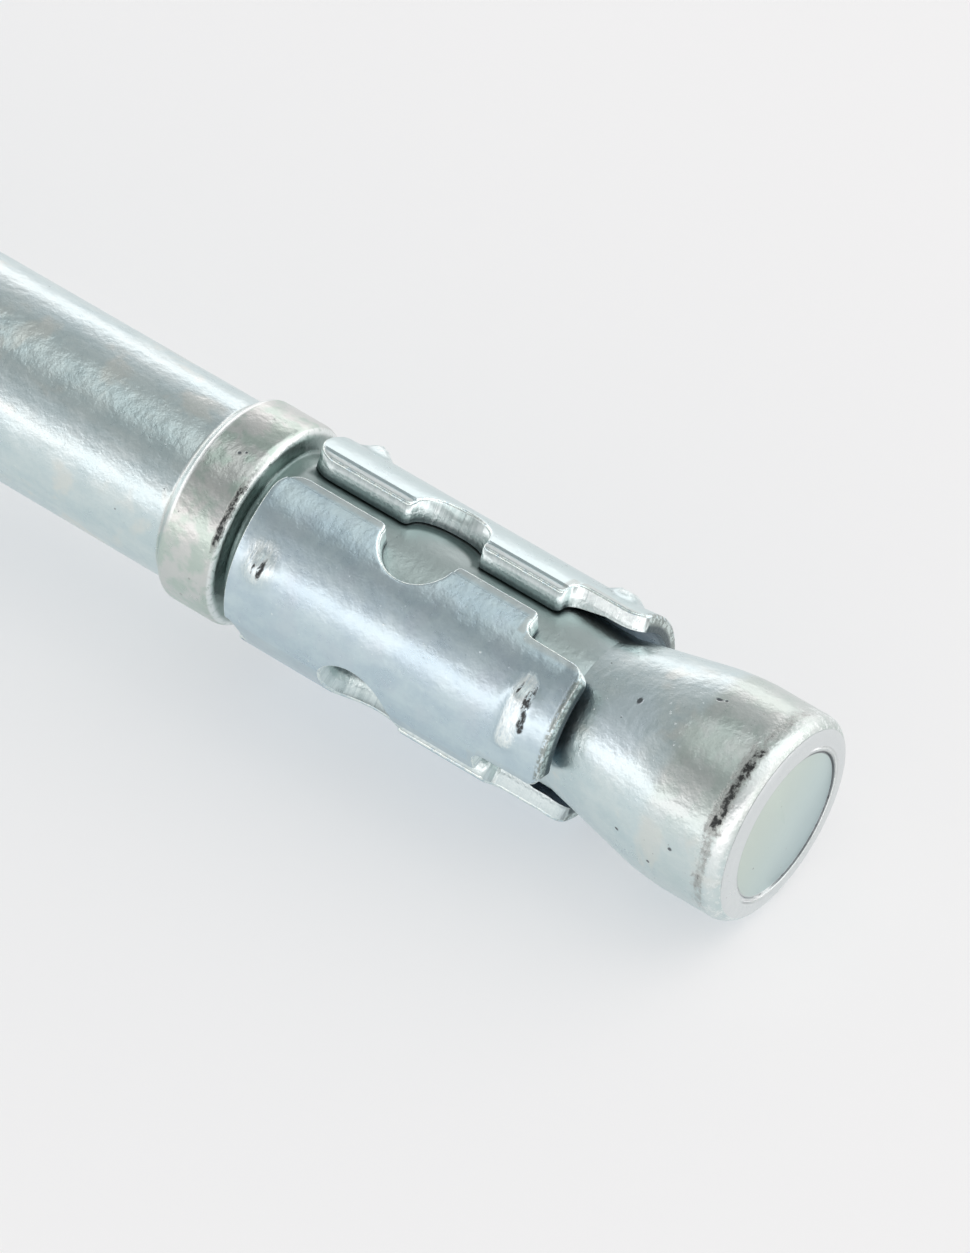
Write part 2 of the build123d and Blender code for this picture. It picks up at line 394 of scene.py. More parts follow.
def cutNutThread(hexagon, low, high):
    # the tap starts a whole number of pitches from the bolt's thread, so the two keep step
    pitches = int((low - thread["start"]) / thread["pitch"]) - thread["spareTurns"] - 1
    tapStart = thread["start"] + pitches * thread["pitch"]
    tap = threadedRod("nutThread", nut["threadPlay"], tapStart, high + nut["tapReach"])
    combined(hexagon, tap, "DIFFERENCE")
    # the bore inside the crests, countersunk at both ends
    past = 1
    mouth, bore = nut["mouth"], nut["bore"]
    mouths = outline(
        "nutMouths", (0, low - past), (mouth + past, low - past), (bore, low + mouth - bore),
        (bore, high - mouth + bore), (mouth + past, high + past), (0, high + past),
    )
    turned(mouths, nut["steps"])
    combined(hexagon, mouths, "DIFFERENCE")


def makeNut():
    low, high = nut["seat"], nut["seat"] + nut["height"]
    hexagon = chamferedHexagon(low, high)
    cutNutThread(hexagon, low, high)
    return hexagon


clip = {
    "thickness": 1.45, "radius": 6.03, "bottom": 11.4, "length": 20.55, "seamAngle": 3.3,
    "seam": {"gap": 2.0, "notchHeight": 11.75, "bandWidth": 0.56, "bandDepth": 0.1},
    "slit": {"gap": 1.37, "notchHeight": 12.1, "bandWidth": 0.86, "bandDepth": 0.05},
    "bandRamp": 0.07, "notchRadius": 2.3, "notchOverhang": 0.12, "notchFillet": 0.35,
    "cornerRound": 1.5, "tipRound": 1.0,
    "cutoutHalf": 2.5, "cutoutSlope": 0.06, "cutoutLength": 4.2, "cutoutRound": 0.7, "stepRound": 0.35,
    "dipHalfWidth": 1.6, "dipDepth": 0.85, "edgeRound": 0.16,
    "columnsPerLobe": 42,  # cells of the grid across a lobe
    "rowsBetweenBumps": 55, "lipLength": 1.2, "lipFlare": 0.12,
    "reliefStart": 4.6, "reliefLength": 2.5, "reliefDepth": 0.5, "bumpAside": -0.45,
    "roundBump": {"height": 18.95, "rise": 0.56, "halfWidth": 0.3, "halfRun": 0.3, "shoulder": 1.1},
    "longBump": {"height": 2.45, "rise": 0.36, "halfWidth": 0.42, "halfRun": 1.6, "shoulder": 0.62},
}
clipGirth = 2 * pi * clip["radius"]
clipOpenings = (
    (-clipGirth / 2, clip["seam"]), (clipGirth / 2, clip["seam"]),
    (-clipGirth / 6, clip["slit"]), (clipGirth / 6, clip["slit"]),
)


def halfLobe(name, opening):
    # flat half of a lobe: x runs from the middle of its opening to the middle of the lobe
    middle = clipGirth / 6
    edge = opening["gap"] / 2
    notchHeight = opening["notchHeight"]
    side = clip["cutoutHalf"]
    wide = side + clip["cutoutSlope"]
    foot, inner, step = clip["cutoutLength"], clip["cutoutRound"], clip["stepRound"]
    fillet, notch = clip["notchFillet"], clip["notchRadius"]
    notchX = edge + clip["notchOverhang"]
    rise = sqrt((notch + fillet) ** 2 - (fillet - clip["notchOverhang"]) ** 2)
    touch = degrees(atan2(rise, fillet - clip["notchOverhang"]))
    top = clip["length"]
    pen = Pen(name, middle, 0)
    pen.line(wide + clip["tipRound"], 0)
    pen.arc(wide + clip["tipRound"], clip["tipRound"], -90, 10)
    pen.line(side, foot - inner)
    pen.arc(side - inner, foot - inner, 90, 9)
    pen.line(edge + step, foot)
    pen.arc(edge + step, foot + step, -90, 7)
    pen.line(edge, notchHeight - rise)
    pen.arc(edge + fillet, notchHeight - rise, -touch, 5)
    if opening is clip["seam"]:
        pen.arc(notchX, notchHeight, 2 * touch, 30)
        pen.arc(edge + fillet, notchHeight + rise, -touch, 5)
        pen.line(edge, top - clip["cornerRound"])
        pen.arc(edge + clip["cornerRound"], top - clip["cornerRound"], -90, 10)
    else:
        pen.arc(notchX, notchHeight, 90 + touch, 24)
        pen.line(0, notchHeight + notch)
        pen.line(0, top - clip["dipDepth"])
        half, depth = clip["dipHalfWidth"], clip["dipDepth"]
        dipRadius = (half**2 + depth**2) / (2 * depth)
        pen.arc(0, top - depth + dipRadius, degrees(asin(half / dipRadius)), 8)
    pen.line(middle, top)
    pen.line(middle, 0)
    pen.close()
    doneEditing()
    return pen.piece


def thickened(way):
    # gives the flat face in edit mode its thickness
    selectAll()
    bpy.ops.mesh.extrude_region_move(TRANSFORM_OT_translate={"value": way})
    selectAll()
    bpy.ops.mesh.normals_make_consistent(inside=False)
    doneEditing()


def flatSheet():
    # the whole sheet unrolled: y runs from its outer side to its inner side
    seamHalf = halfLobe("seamHalf", clip["seam"])
    slitHalf = halfLobe("slitHalf", clip["slit"])
    halves = []
    for source, sixths, side in (
        (seamHalf, -3, 1), (slitHalf, -1, -1), (slitHalf, -1, 1),
        (slitHalf, 1, -1), (slitHalf, 1, 1), (seamHalf, 3, -1),
    ):
        half = copyOf(source, "lobeHalf")
        half.location.x = sixths * clipGirth / 6
        half.scale.x = side
        halves.append(half)
    for source in (seamHalf, slitHalf):
        bpy.data.objects.remove(source)
    bpy.ops.object.select_all(action="DESELECT")
    for half in halves:
        half.select_set(True)
    sheet = halves[0]
    bpy.context.view_layer.objects.active = sheet
    bpy.ops.object.transform_apply(location=True, rotation=True, scale=True)
    bpy.ops.object.join()
    sheet.name = sheet.data.name = "expansionClip"
    editing(sheet, "FACE")
    selectAll()
    bpy.ops.mesh.remove_doubles(threshold=1e-3)
    bpy.ops.mesh.normals_make_consistent(inside=False)
    bpy.ops.mesh.dissolve_limited(angle_limit=radians(0.5), use_dissolve_boundaries=False)
    thickened((0, clip["thickness"], 0))
    return sheet


def cutTipsBack(sheet):
    # the inside of the lobes' tips is cut back along a slope
    thickness, depth = clip["thickness"], clip["reliefDepth"]
    slopeEnd = clip["reliefStart"] - clip["reliefLength"]
    beyond = 1.0
    aside = 2.0
    relief = outline(
        "tipRelief", (thickness - depth, -beyond), (thickness - depth, slopeEnd),
        (thickness + beyond * depth / clip["reliefLength"], clip["reliefStart"] + beyond),
        (thickness + beyond, -beyond),
    )
    thickened((0, clipGirth + 2 * aside, 0))
    relief.rotation_euler.z = pi / 2
    relief.location.x = clipGirth / 2 + aside
    settled(relief)
    combined(sheet, relief, "DIFFERENCE")


def rollEdgeOver(sheet):
    # the punch rolls the outer edge over, and leaves the inner one nearly sharp
    editing(sheet, "EDGE")
    pick(sheet, "EDGE", lambda co: co.y < 1e-4)
    bpy.ops.mesh.bevel(offset=clip["edgeRound"], segments=4, affect="EDGES", clamp_overlap=False)
    doneEditing()
    # slot 0 is the sheet's faces, 1 its rolled-over edge and 2 the sheared walls
    while len(sheet.data.materials) < 3:
        sheet.data.materials.append(None)
    for face in sheet.data.polygons:
        steepness = abs(face.normal.y)
        face.material_index = 0 if steepness > 0.95 else 1 if steepness > 0.05 else 2


def gridSheet(sheet):
    # a fine grid, with lines where the coined bands, the lip and the bumps begin
    editing(sheet)
    cell = clipGirth / 3 / clip["columnsPerLobe"]
    columns = [cell * index for index in range(-62, 63)]
    for place, opening in clipOpenings:
        for side in (-1, 1):
            for ramp in (0, clip["bandRamp"]):
                columns.append(place + side * (opening["gap"] / 2 + opening["bandWidth"] + ramp))
    low, high = clip["longBump"]["height"], clip["roundBump"]["height"]
    cell = (high - low) / clip["rowsBetweenBumps"]
    rows = [low + cell * index for index in range(-8, 61)]
    rows += [clip["lipLength"], clip["cutoutLength"], clip["cutoutLength"] + clip["bandRamp"]]
    for places, direction in ((columns, (1, 0, 0)), (rows, (0, 0, 1))):
        for place in places:
            point = [place * way for way in direction]
            selectAll()
            bpy.ops.mesh.bisect(plane_co=point, plane_no=direction, threshold=1e-5)


def pressSheet(sheet):
    # bands pressed in beside the seam and the slits
    skin = clip["edgeRound"] + 0.01
    foot = clip["cutoutLength"] + clip["bandRamp"] - 1e-4
    for place, opening in clipOpenings:
        reach = opening["gap"] / 2 + opening["bandWidth"] + 1e-4
        pick(sheet, "VERT", lambda co: abs(co.x - place) < reach and co.y < skin and co.z > foot)
        bpy.ops.transform.translate(value=(0, opening["bandDepth"], 0))

    # bumps pressed out of each lobe
    for lobe in (-clipGirth / 3, 0, clipGirth / 3):
        for bump in (clip["roundBump"], clip["longBump"]):
            pick(sheet, "VERT", lambda co: (
                abs(co.x - lobe - clip["bumpAside"]) < bump["halfRun"]
                and abs(co.z - bump["height"]) < bump["halfWidth"] and co.y < 0.01
            ))
            bpy.ops.transform.translate(
                value=(0, -bump["rise"], 0),
                use_proportional_edit=True, proportional_size=bump["shoulder"],
                proportional_edit_falloff="SMOOTH", use_proportional_connected=False,
            )

    # the lip at the cone end leans out
    lip = clip["lipLength"]
    pick(sheet, "VERT", lambda co: co.z < lip + 1e-4)
    lean = asin(clip["lipFlare"] / lip)
    bpy.ops.transform.rotate(value=lean, orient_axis="X", center_override=(0, 0, lip))
    doneEditing()


def rollSheet(sheet):
    # rolls the sheet round the neck, with its seam at its own angle
    angle = (clipGirth - clip["seam"]["gap"]) / clip["radius"]
    applied(sheet, "SIMPLE_DEFORM", deform_method="BEND", deform_axis="Z", angle=angle)
    sheet.location = (0, -clip["radius"], 0)
    settled(sheet)
    sheet.location.z = clip["bottom"]
    sheet.rotation_euler.z = radians(clip["seamAngle"] - 90)
    settled(sheet)


def makeClip():
    sheet = flatSheet()
    cutTipsBack(sheet)
    rollEdgeOver(sheet)
    gridSheet(sheet)
    pressSheet(sheet)
    rollSheet(sheet)
    editing(sheet)
    tidied()
    return sheet


boltPiece = makeBolt()
print("bolt made")
washerPiece = makeWasher()
nutPiece = makeNut()
print("washer and nut made")
clipPiece = makeClip()
print("clip made")
laidDown(boltPiece, "anchor", "anchor_body")
laidDown(washerPiece, "washer", "washer")
laidDown(nutPiece, "nut", "hex_nut")
laidDown(clipPiece, "clip", "expansion_clip")
print("pieces laid down")


class Value:
    # one output of a node, with the arithmetic that is written with it
    def __init__(self, graph, socket):
        self.graph, self.socket = graph, socket

    def math(self, operation, *others):
        terms = dict(enumerate((self, *others)))
        return self.graph.add("Math", terms, operation=operation)

    def __add__(self, other):
        return self.math("ADD", other)

    __radd__ = __add__

    def __mul__(self, other):
        return self.math("MULTIPLY", other)

    __rmul__ = __mul__

    def __sub__(self, other):
        return self.math("SUBTRACT", other)

    def __rsub__(self, other):
        return self.graph.add("Math", {0: other, 1: self}, operation="SUBTRACT")

    def __truediv__(self, other):
        return self.math("DIVIDE", other)

    def __rtruediv__(self, other):
        return self.graph.add("Math", {0: other, 1: self}, operation="DIVIDE")

    def __pow__(self, other):
        return self.math("POWER", other)

    def __or__(self, other):
        # the stronger of two masks
        return self.math("MAXIMUM", other)

    def atLeast(self, low):
        return self.math("MAXIMUM", low)

    def rising(self, low, high):
        # 0 below low, 1 above high, and smooth from one to the other
        bounds = {"Value": self, "From Min": low, "From Max": high}
        return self.graph.add("MapRange", bounds, interpolation_type="SMOOTHSTEP")

    def falling(self, low, high):
        return 1 - self.rising(low, high)

    def within(self, low, high, soft):
        # 1 between two bounds and 0 outside them
        return self.rising(low - soft, low + soft) * self.falling(high - soft, high + soft)


class Graph:
    # the nodes of a material or of the world
    def __init__(self, tree):
        self.nodes, self.links = tree.nodes, tree.links
        self.nodes.clear()

    def add(self, kind, inputs, output=0, **settings):
        node = self.nodes.new("ShaderNode" + kind)
        for name, value in settings.items():
            if name == "stops":
                ramp = node.color_ramp
                for index, (place, colour) in enumerate(value):
                    stop = ramp.elements[index] if index < 2 else ramp.elements.new(place)
                    stop.position, stop.color = place, (*colour, 1)
            else:
                setattr(node, name, value)
        for name, value in inputs.items():
            if isinstance(value, Value):
                self.links.new(value.socket, node.inputs[name])
            else:
                node.inputs[name].default_value = value
        return node if output is None else Value(self, node.outputs[output])

    def blend(self, mask, first, second):
        # the first colour where the mask is 0, the second where it is 1
        pair = [(*colour, 1) if isinstance(colour, tuple) else colour for colour in (first, second)]
        return self.add("Mix", {0: mask, 6: pair[0], 7: pair[1]}, 2, data_type="RGBA")


class Finish(Graph):
    # a material in the anchor's own millimetres: height is measured along it from the head's end
    def __init__(self, name):
        self.material = bpy.data.materials.new(name)
        self.material.use_nodes = True
        super().__init__(self.material.node_tree)
        inFrame = self.add("TexCoord", {}, "Object")
        lying = {
            "Vector": inFrame,
            "Location": tuple(endCentre),
            "Rotation": tuple(lyingFrame.to_euler()),
            "Scale": (0.001, 0.001, 0.001),
        }
        self.place = self.add("Mapping", lying, vector_type="TEXTURE")
        parts = self.add("SeparateXYZ", {0: self.place}, None)
        self.x, self.y, self.height = (Value(self, parts.outputs[index]) for index in range(3))
        self.radius = (self.x * self.x + self.y * self.y) ** 0.5
        # degrees round the axis: 0 is straight up and 90 the far side
        self.turn = self.y.math("ARCTAN2", self.x) * degrees(1)
        self.colour = None

    def paint(self, mask, colour):
        # lays a colour over the finish as it is so far
        self.colour = self.blend(mask, self.colour, colour)

    def noise(self, scale, detail, roughness=0.5, place=None, distortion=0.0):
        # scale is in waves to the millimetre
        inputs = {"Scale": scale, "Detail": detail, "Roughness": roughness, "Distortion": distortion}
        return self.add("TexNoise", {"Vector": place or self.place, **inputs})

    def specks(self, scale, size, share):
        # small round dots, in that share of the cells
        inputs = {"Vector": self.place, "Scale": scale, "Randomness": 1.0}
        cell = self.add("TexVoronoi", inputs, None)
        draw = self.add("SeparateXYZ", {0: Value(self, cell.outputs["Color"])})
        dot = Value(self, cell.outputs["Distance"]).falling(size * 0.6, size)
        return dot * draw.falling(share - 0.02, share + 0.02)

    def skin(self, swell, fine):
        # the uneven skin of rolled and plated steel, in millimetres
        broad = self.noise(0.7, 2) * swell + self.noise(1.9, 2) * (swell * 0.22)
        return broad + self.noise(3.4, 3, 0.6) * fine + self.noise(8.0, 2) * (fine * 0.45)

    def stretched(self, across, along):
        # a pattern on it runs long in the direction whose number is small
        inputs = {0: self.place, 1: (across, across, along)}
        return self.add("VectorMath", inputs, operation="MULTIPLY")

    def spot(self, turn, height, halfWidth, halfLength, ragged, grain=2.5, soft=0.35):
        # 1 on an oval patch, whose half width and half length are in millimetres
        sideways = (self.turn - turn) * self.radius * (radians(1) / halfWidth)
        lengthways = (self.height - height) / halfLength
        reach = (sideways * sideways + lengthways * lengthways) ** 0.5
        reach = reach + (self.noise(grain, 3, 0.6) - 0.5) * ragged
        return reach.falling(1 - soft, 1 + soft)

    def finished(self, roughness, relief):
        # relief is in millimetres
        bump = self.add("Bump", {"Strength": 1.0, "Distance": 0.001, "Height": relief})
        coat = {"Base Color": self.colour, "Roughness": roughness, "Metallic": 1.0, "Normal": bump}
        shader = self.add("BsdfPrincipled", coat)
        self.add("OutputMaterial", {"Surface": shader}, None)
        return self.material


boltFinish = {
    "cool": (0.585, 0.70, 0.715), "pale": (0.67, 0.765, 0.765), "cream": (0.725, 0.765, 0.73),
    "sky": (0.66, 0.775, 0.82), "land": (0.58, 0.645, 0.62),
    "blush": (0.65, 0.66, 0.635), "moss": (0.49, 0.585, 0.52), "neck": (0.50, 0.585, 0.575),
    # grooveShade and darkestShade are painted shade and painted shadow
    "grooveShade": (0.27, 0.35, 0.335), "darkestShade": (0.10, 0.145, 0.14), "annulus": (0.72, 0.755, 0.76),
    # wearAndHighlight is the colour of wear and of painted highlights and glints
    "disc": (0.54, 0.675, 0.69), "discWarm": (0.60, 0.68, 0.62), "wearAndHighlight": (0.86, 0.91, 0.90),
    # pit paints the pits and also the painted shade along the disc's rim
    "soot": (0.07, 0.075, 0.074), "grime": (0.31, 0.325, 0.31), "pit": (0.15, 0.17, 0.18),
    "root": (0.42, 0.46, 0.45),
    "gloss": 0.22,
    "landEnd": 5.15,
    "gapOnNeck": 0.76,  # how wide an opening is down on the neck, where it is 1 in the sheet
    # turn, height, half width, half length and raggedness of a blue patch and a frosted one
    "skyPatch": (-35, 8.4, 2.2, 1.7, 0.9),
    "frostPatch": (-22, 6.4, 2.2, 0.9, 1.2),
    # turn, height, half width and half length of each pit
    "pits": (
        (-18.6, 8.45, 0.2, 0.16), (2.3, 4.9, 0.12, 0.18), (3.6, 4.55, 0.08, 0.09), (-80, 3.2, 0.1, 0.12),
        (-97, 4.4, 0.09, 0.1), (-90, 6.6, 0.08, 0.13), (-14, 34.6, 0.1, 0.12), (-12, 34.3, 0.07, 0.08),
    ),
}


class BoltFinish(Finish):
    # the bolt's plating, and the marks on it in the order that they are laid
    def __init__(self, name):
        super().__init__(name)
        self.cloud = self.noise(0.5, 4, 0.6)
        self.flow = self.noise(1.0, 3, 0.55, self.stretched(1.5, 0.16))
        self.grain = self.noise(3.2, 4, 0.65)
        self.fine = self.noise(7.0, 2)
        self.scuff = self.noise(2.0, 4, 0.75, self.stretched(1.0, 1.3))
        self.ragged = (self.noise(1.3, 2) - 0.5) * 0.5 + (self.grain - 0.5) * 0.5
        # the side that is sooted most, and a wider one that is sooted less
        self.strong = self.turn.within(-66, -4, 12)
        self.weak = self.turn.within(-120, 38, 18) * 0.74
        # the places along the bolt
        landEnd, front, back = boltFinish["landEnd"], bolt["collarFront"], bolt["collarBack"]
        wandering = self.height + (self.cloud - 0.5) * 1.2 + self.ragged * 0.5
        self.land = wandering.falling(landEnd - 0.45, landEnd + 0.45)
        self.face = self.height.falling(0.13, 0.17)
        self.corner = (self.height + self.ragged).falling(1.3, 2.0) * (1 - self.face)
        self.collar = self.height.within(front - 0.2, back + 0.6, 0.1)
        self.neck = self.height.rising(bolt["coneFoot"] - 0.7, bolt["coneFoot"] + 1.6)
        self.neck = self.neck * self.height.falling(front - 0.32, front - 0.02)

    def plate(self):
        # cloudy zinc, warmer and blotched on the head's land and the collar
        look = boltFinish
        mottle = (self.cloud * 0.5 + self.flow * 0.3 + self.grain * 0.2).rising(0.38, 0.62)
        self.colour = self.blend(mottle, look["cool"], look["pale"])
        patch = self.noise(0.33, 3, 0.55, distortion=0.4)
        self.paint(patch.rising(0.52, 0.66) * 0.8, look["cream"])
        self.paint(self.spot(*look["skyPatch"], grain=0.8) * 0.7, look["sky"])
        blotch = self.noise(0.8, 3, 0.5) + self.ragged * 0.15
        patchy = self.blend(blotch.rising(0.40, 0.60), look["moss"], look["blush"])
        warm = self.blend(0.35 + self.collar * 0.5, look["land"], patchy)
        warmth = (self.land * (0.2 + self.turn.rising(-80, -45) * 0.7)) | (self.collar * 0.9)
        self.paint(warmth, warm)

    def shadeNeck(self):
        # the neck's colour, painted shade in the groove before the collar, and a painted shadow along the
        # foot of the wall above the seam
        look = boltFinish
        front = bolt["collarFront"]
        self.paint(self.neck, look["neck"])
        grooveShade = self.height.within(clip["bottom"] + clip["length"] - 0.05, front + 0.02, 0.15)
        self.paint(grooveShade, look["grooveShade"])
        behind = (self.height + self.ragged * 0.5 - self.turn * 0.003).rising(front - 0.42, front - 0.07)
        below = self.turn.falling(-85, -35)
        # painted shade in the groove, darker next to the clip's end and on the lower side
        self.paint(grooveShade * (behind * 0.35 | below * 0.5), look["darkestShade"])
        # painted shadow: a dark strip on the neck along the foot of the lobe's wall above the seam,
        # following the notch
        above = self.height - clip["bottom"]
        fromNotch = above - clip["seam"]["notchHeight"]
        halfGap = (clip["notchRadius"] ** 2 - fromNotch * fromNotch).atLeast(0) ** 0.5
        halfGap = halfGap.atLeast(clip["seam"]["gap"] / 2)
        fromSeam = (self.turn - clip["seamAngle"]) * (bolt["neckRadius"] * radians(1))
        foot = (fromSeam - halfGap * look["gapOnNeck"]).within(-0.2, 0.6, 0.2)
        foot = foot * above.within(clip["cutoutLength"] - 0.2, clip["length"] - 0.15, 0.2)
        self.paint(foot * 0.85, look["darkestShade"])

    def pressDisc(self):
        # the disc on the end, with its rim worn and given a painted highlight on one side, and a painted
        # shade line along it
        look = boltFinish
        edge = bolt["discRadius"]
        disc = self.face * self.radius.falling(edge - 0.14, edge - 0.06)
        across = (self.x * 0.5 - self.y * 0.5).rising(-3.5, 3.0)
        self.paint(self.face, look["annulus"])
        self.paint(disc * 0.9, self.blend(across, look["disc"], look["discWarm"]))
        # degrees from -40 up to 320, so that no mark lies across the jump
        around = (self.turn + 400).math("MODULO", 360) - 40
        rim = self.face * self.radius.within(edge - 0.12, edge + 0.2, 0.05)
        rubbedAndLit = rim * around.within(100, 215, 14) * (self.grain + self.fine * 0.4).rising(0.50, 0.60)
        # painted highlight: the ring just outside the rim is lighter on one side
        outline = self.face * self.radius.within(edge + 0.06, edge + 0.3, 0.04)
        rubbedAndLit = rubbedAndLit | (outline * around.within(25, 215, 12) * 0.9)
        ridge = self.face * self.radius.within(edge + 0.1, edge + 0.24, 0.08)
        ridge = ridge * around.within(30, 225, 15) * (self.scuff * 0.18 + self.fine * 0.3 + 0.1)
        # painted shade: a dark line along the rim, mostly on one side
        shadowed = self.face * self.radius.within(edge - 0.12, edge + 0.03, 0.03)
        shadowed = shadowed * (around.within(15, 190, 12) * 0.9 | 0.25)
        return disc, rubbedAndLit, ridge, shadowed

    def dullThread(self):
        # darker and duller plating at the bottom of the thread
        cut = self.height.rising(thread["start"], thread["start"] + 1) * self.radius.falling(5.2, 5.8)
        cut = cut * (1 - self.height.rising(thread["end"] - 0.4, thread["end"] - 0.1) * 0.8)
        self.paint(cut, boltFinish["root"])
        return cut

    def wearAndHighlightEdges(self, rubbedAndLit):
        # painted highlights on the end's rounded edge and the collar's edges, the disc's rim and the
        # head's corner worn, and a frosting of painted glints
        look = boltFinish
        height, turn, grain, scuff = self.height, self.turn, self.grain, self.scuff
        front, back = bolt["collarFront"], bolt["collarBack"]
        brightSide = 0.25 + turn.within(-78, -2, 16) * 0.75
        # painted highlight: a bright band on the end's rounded edge, strongest on one side
        band = (height + self.ragged * 0.12).within(0.34, 0.9, 0.14) * brightSide * (1 - self.face)
        # painted highlights along the collar's back and front edges
        backEdgeHighlight = height.within(back - 0.2, back + bolt["collarSlope"], 0.07) * turn.within(-62, 40, 12)
        frontEdgeHighlight = height.within(front + 0.03, front + 0.24, 0.06) * grain.rising(0.3, 0.5)
        wearAndHighlight = (band * 0.8) | rubbedAndLit | (backEdgeHighlight * 0.9) | (frontEdgeHighlight * 0.8)
        bare = 1 - (self.strong | self.weak) * 0.5
        wearAndHighlight = wearAndHighlight | (self.corner * bare * (scuff + self.fine * 0.4).rising(0.68, 0.8))
        frost = height.within(10.0, 11.3, 0.3) | self.spot(*look["frostPatch"])
        frost = frost | height.within(5.0, 5.5, 0.2) * 0.7
        glint = self.specks(2.6, 0.15, 0.45) * (frost | 0.16) + self.specks(1.3, 0.08, 0.3) * 0.5
        self.paint(wearAndHighlight, look["wearAndHighlight"])
        self.paint(glint * 0.6, look["wearAndHighlight"])
        return wearAndHighlight, glint

    def blacken(self, shadowed):
        # soot ground into the end's edge and behind the collar's front edge, pits, and the painted shade
        # along the disc's rim
        look = boltFinish
        height, turn, ragged = self.height, self.turn, self.ragged
        front = bolt["collarFront"]
        dirty = self.strong | self.weak
        edge = (height + ragged * 0.6).within(0.9, 1.6, 0.2) * dirty
        lip = (height + ragged * 0.35).within(front + 0.13, front + 0.53, 0.14)
        lip = lip * (turn.within(-68, -22, 9) | self.weak * 0.6)
        halo = (height + ragged * 0.8).within(0.75, 1.9, 0.3) * dirty
        blots = self.scuff * 0.6 + self.grain * 0.4
        soot = ((edge | lip) * 0.6 + blots).rising(1.0, 1.14)
        grime = (edge | lip | (halo * 0.8) | (self.corner * 0.35)) * 0.6 + blots
        grime = grime.rising(0.80, 1.04) * 0.75
        specks = self.specks(1.7, 0.1, 0.3) * (0.25 + (self.land | self.collar) * 0.5)
        specks = specks | (self.specks(1.2, 0.15, 0.45) * self.collar * turn.falling(-85, -60))
        pits = self.specks(0.9, 0.07, 0.2) * 0.6
        for pit in look["pits"]:
            pits = pits | self.spot(*pit, ragged=0.5, grain=4)
        self.paint(grime | (specks * 0.6), look["grime"])
        # painted shade: the disc rim's dark line, in the pits' colour
        self.paint(shadowed, look["pit"])
        self.paint(pits, look["pit"])
        self.paint(soot, look["soot"])
        return soot, grime, pits


def coldFormedZinc():
    zinc = BoltFinish("coldFormedZinc")
    zinc.plate()
    zinc.shadeNeck()
    disc, rubbedAndLit, ridge, shadowed = zinc.pressDisc()
    cut = zinc.dullThread()
    wearAndHighlight, glint = zinc.wearAndHighlightEdges(rubbedAndLit)
    soot, grime, pits = zinc.blacken(shadowed)
    cloud, grain, scuff = zinc.cloud, zinc.grain, zinc.scuff
    roughness = (
        boltFinish["gloss"] + cloud * 0.06 + grain * 0.08 + wearAndHighlight * 0.05 + soot * 0.3 + grime * 0.1
        + cut * 0.15 + disc * 0.14 + zinc.neck * 0.08 + zinc.land * zinc.turn.within(-30, -12, 6) * 0.12
    )
    relief = (
        zinc.skin(0.065, 0.017) * (1 - disc * 0.8) + zinc.flow * 0.006 + glint * 0.016 - pits * 0.02
        + (soot | grime | (zinc.corner * 0.7)) * scuff * 0.08 + rubbedAndLit * scuff * 0.09 + ridge
        + wearAndHighlight * grain * 0.012
    )
    return zinc.finished(roughness, relief)


washerFinish = {
    "cool": (0.62, 0.70, 0.71), "pale": (0.71, 0.77, 0.77), "nick": (0.85, 0.87, 0.87),
    "wall": (0.56, 0.60, 0.60),
}


def punchedZinc():
    look = washerFinish
    zinc = Finish("punchedZinc")
    cloud = zinc.noise(0.4, 4, 0.6)
    grain = zinc.noise(2.6, 4, 0.65)
    streak = zinc.noise(2.2, 3, 0.6, zinc.stretched(1.0, 0.08))
    # the rim's wall between its rounded edges, torn where the punch broke out
    low = washer["seat"] + washer["edge"] * 2
    high = washer["seat"] + washer["thickness"] - washer["rollOver"]
    rim = zinc.radius.rising(washer["outerRadius"] - 0.12, washer["outerRadius"] - 0.04)
    torn = rim * zinc.height.within(low, low + 0.8, 0.15)
    sheared = rim * zinc.height.within(low, high, 0.1)
    nicks = zinc.specks(0.5, 0.16, 0.3) | zinc.specks(0.9, 0.08, 0.3)
    zinc.colour = zinc.blend(cloud.rising(0.36, 0.62), look["cool"], look["pale"])
    zinc.paint(sheared * streak.rising(0.4, 0.6), look["wall"])
    zinc.paint(nicks * 0.6, look["nick"])
    roughness = 0.26 + cloud * 0.08 + grain * 0.08 + torn * 0.22 + sheared * 0.06
    relief = zinc.noise(0.8, 2) * 0.01 + grain * 0.005 - nicks * 0.02
    relief = relief + sheared * streak * 0.03 + torn * grain * 0.06
    return zinc.finished(roughness, relief)


nutFinish = {
    "cool": (0.60, 0.69, 0.70), "pale": (0.70, 0.76, 0.77), "turned": (0.76, 0.81, 0.81),
    "root": (0.40, 0.44, 0.44), "nick": (0.86, 0.88, 0.88),
}


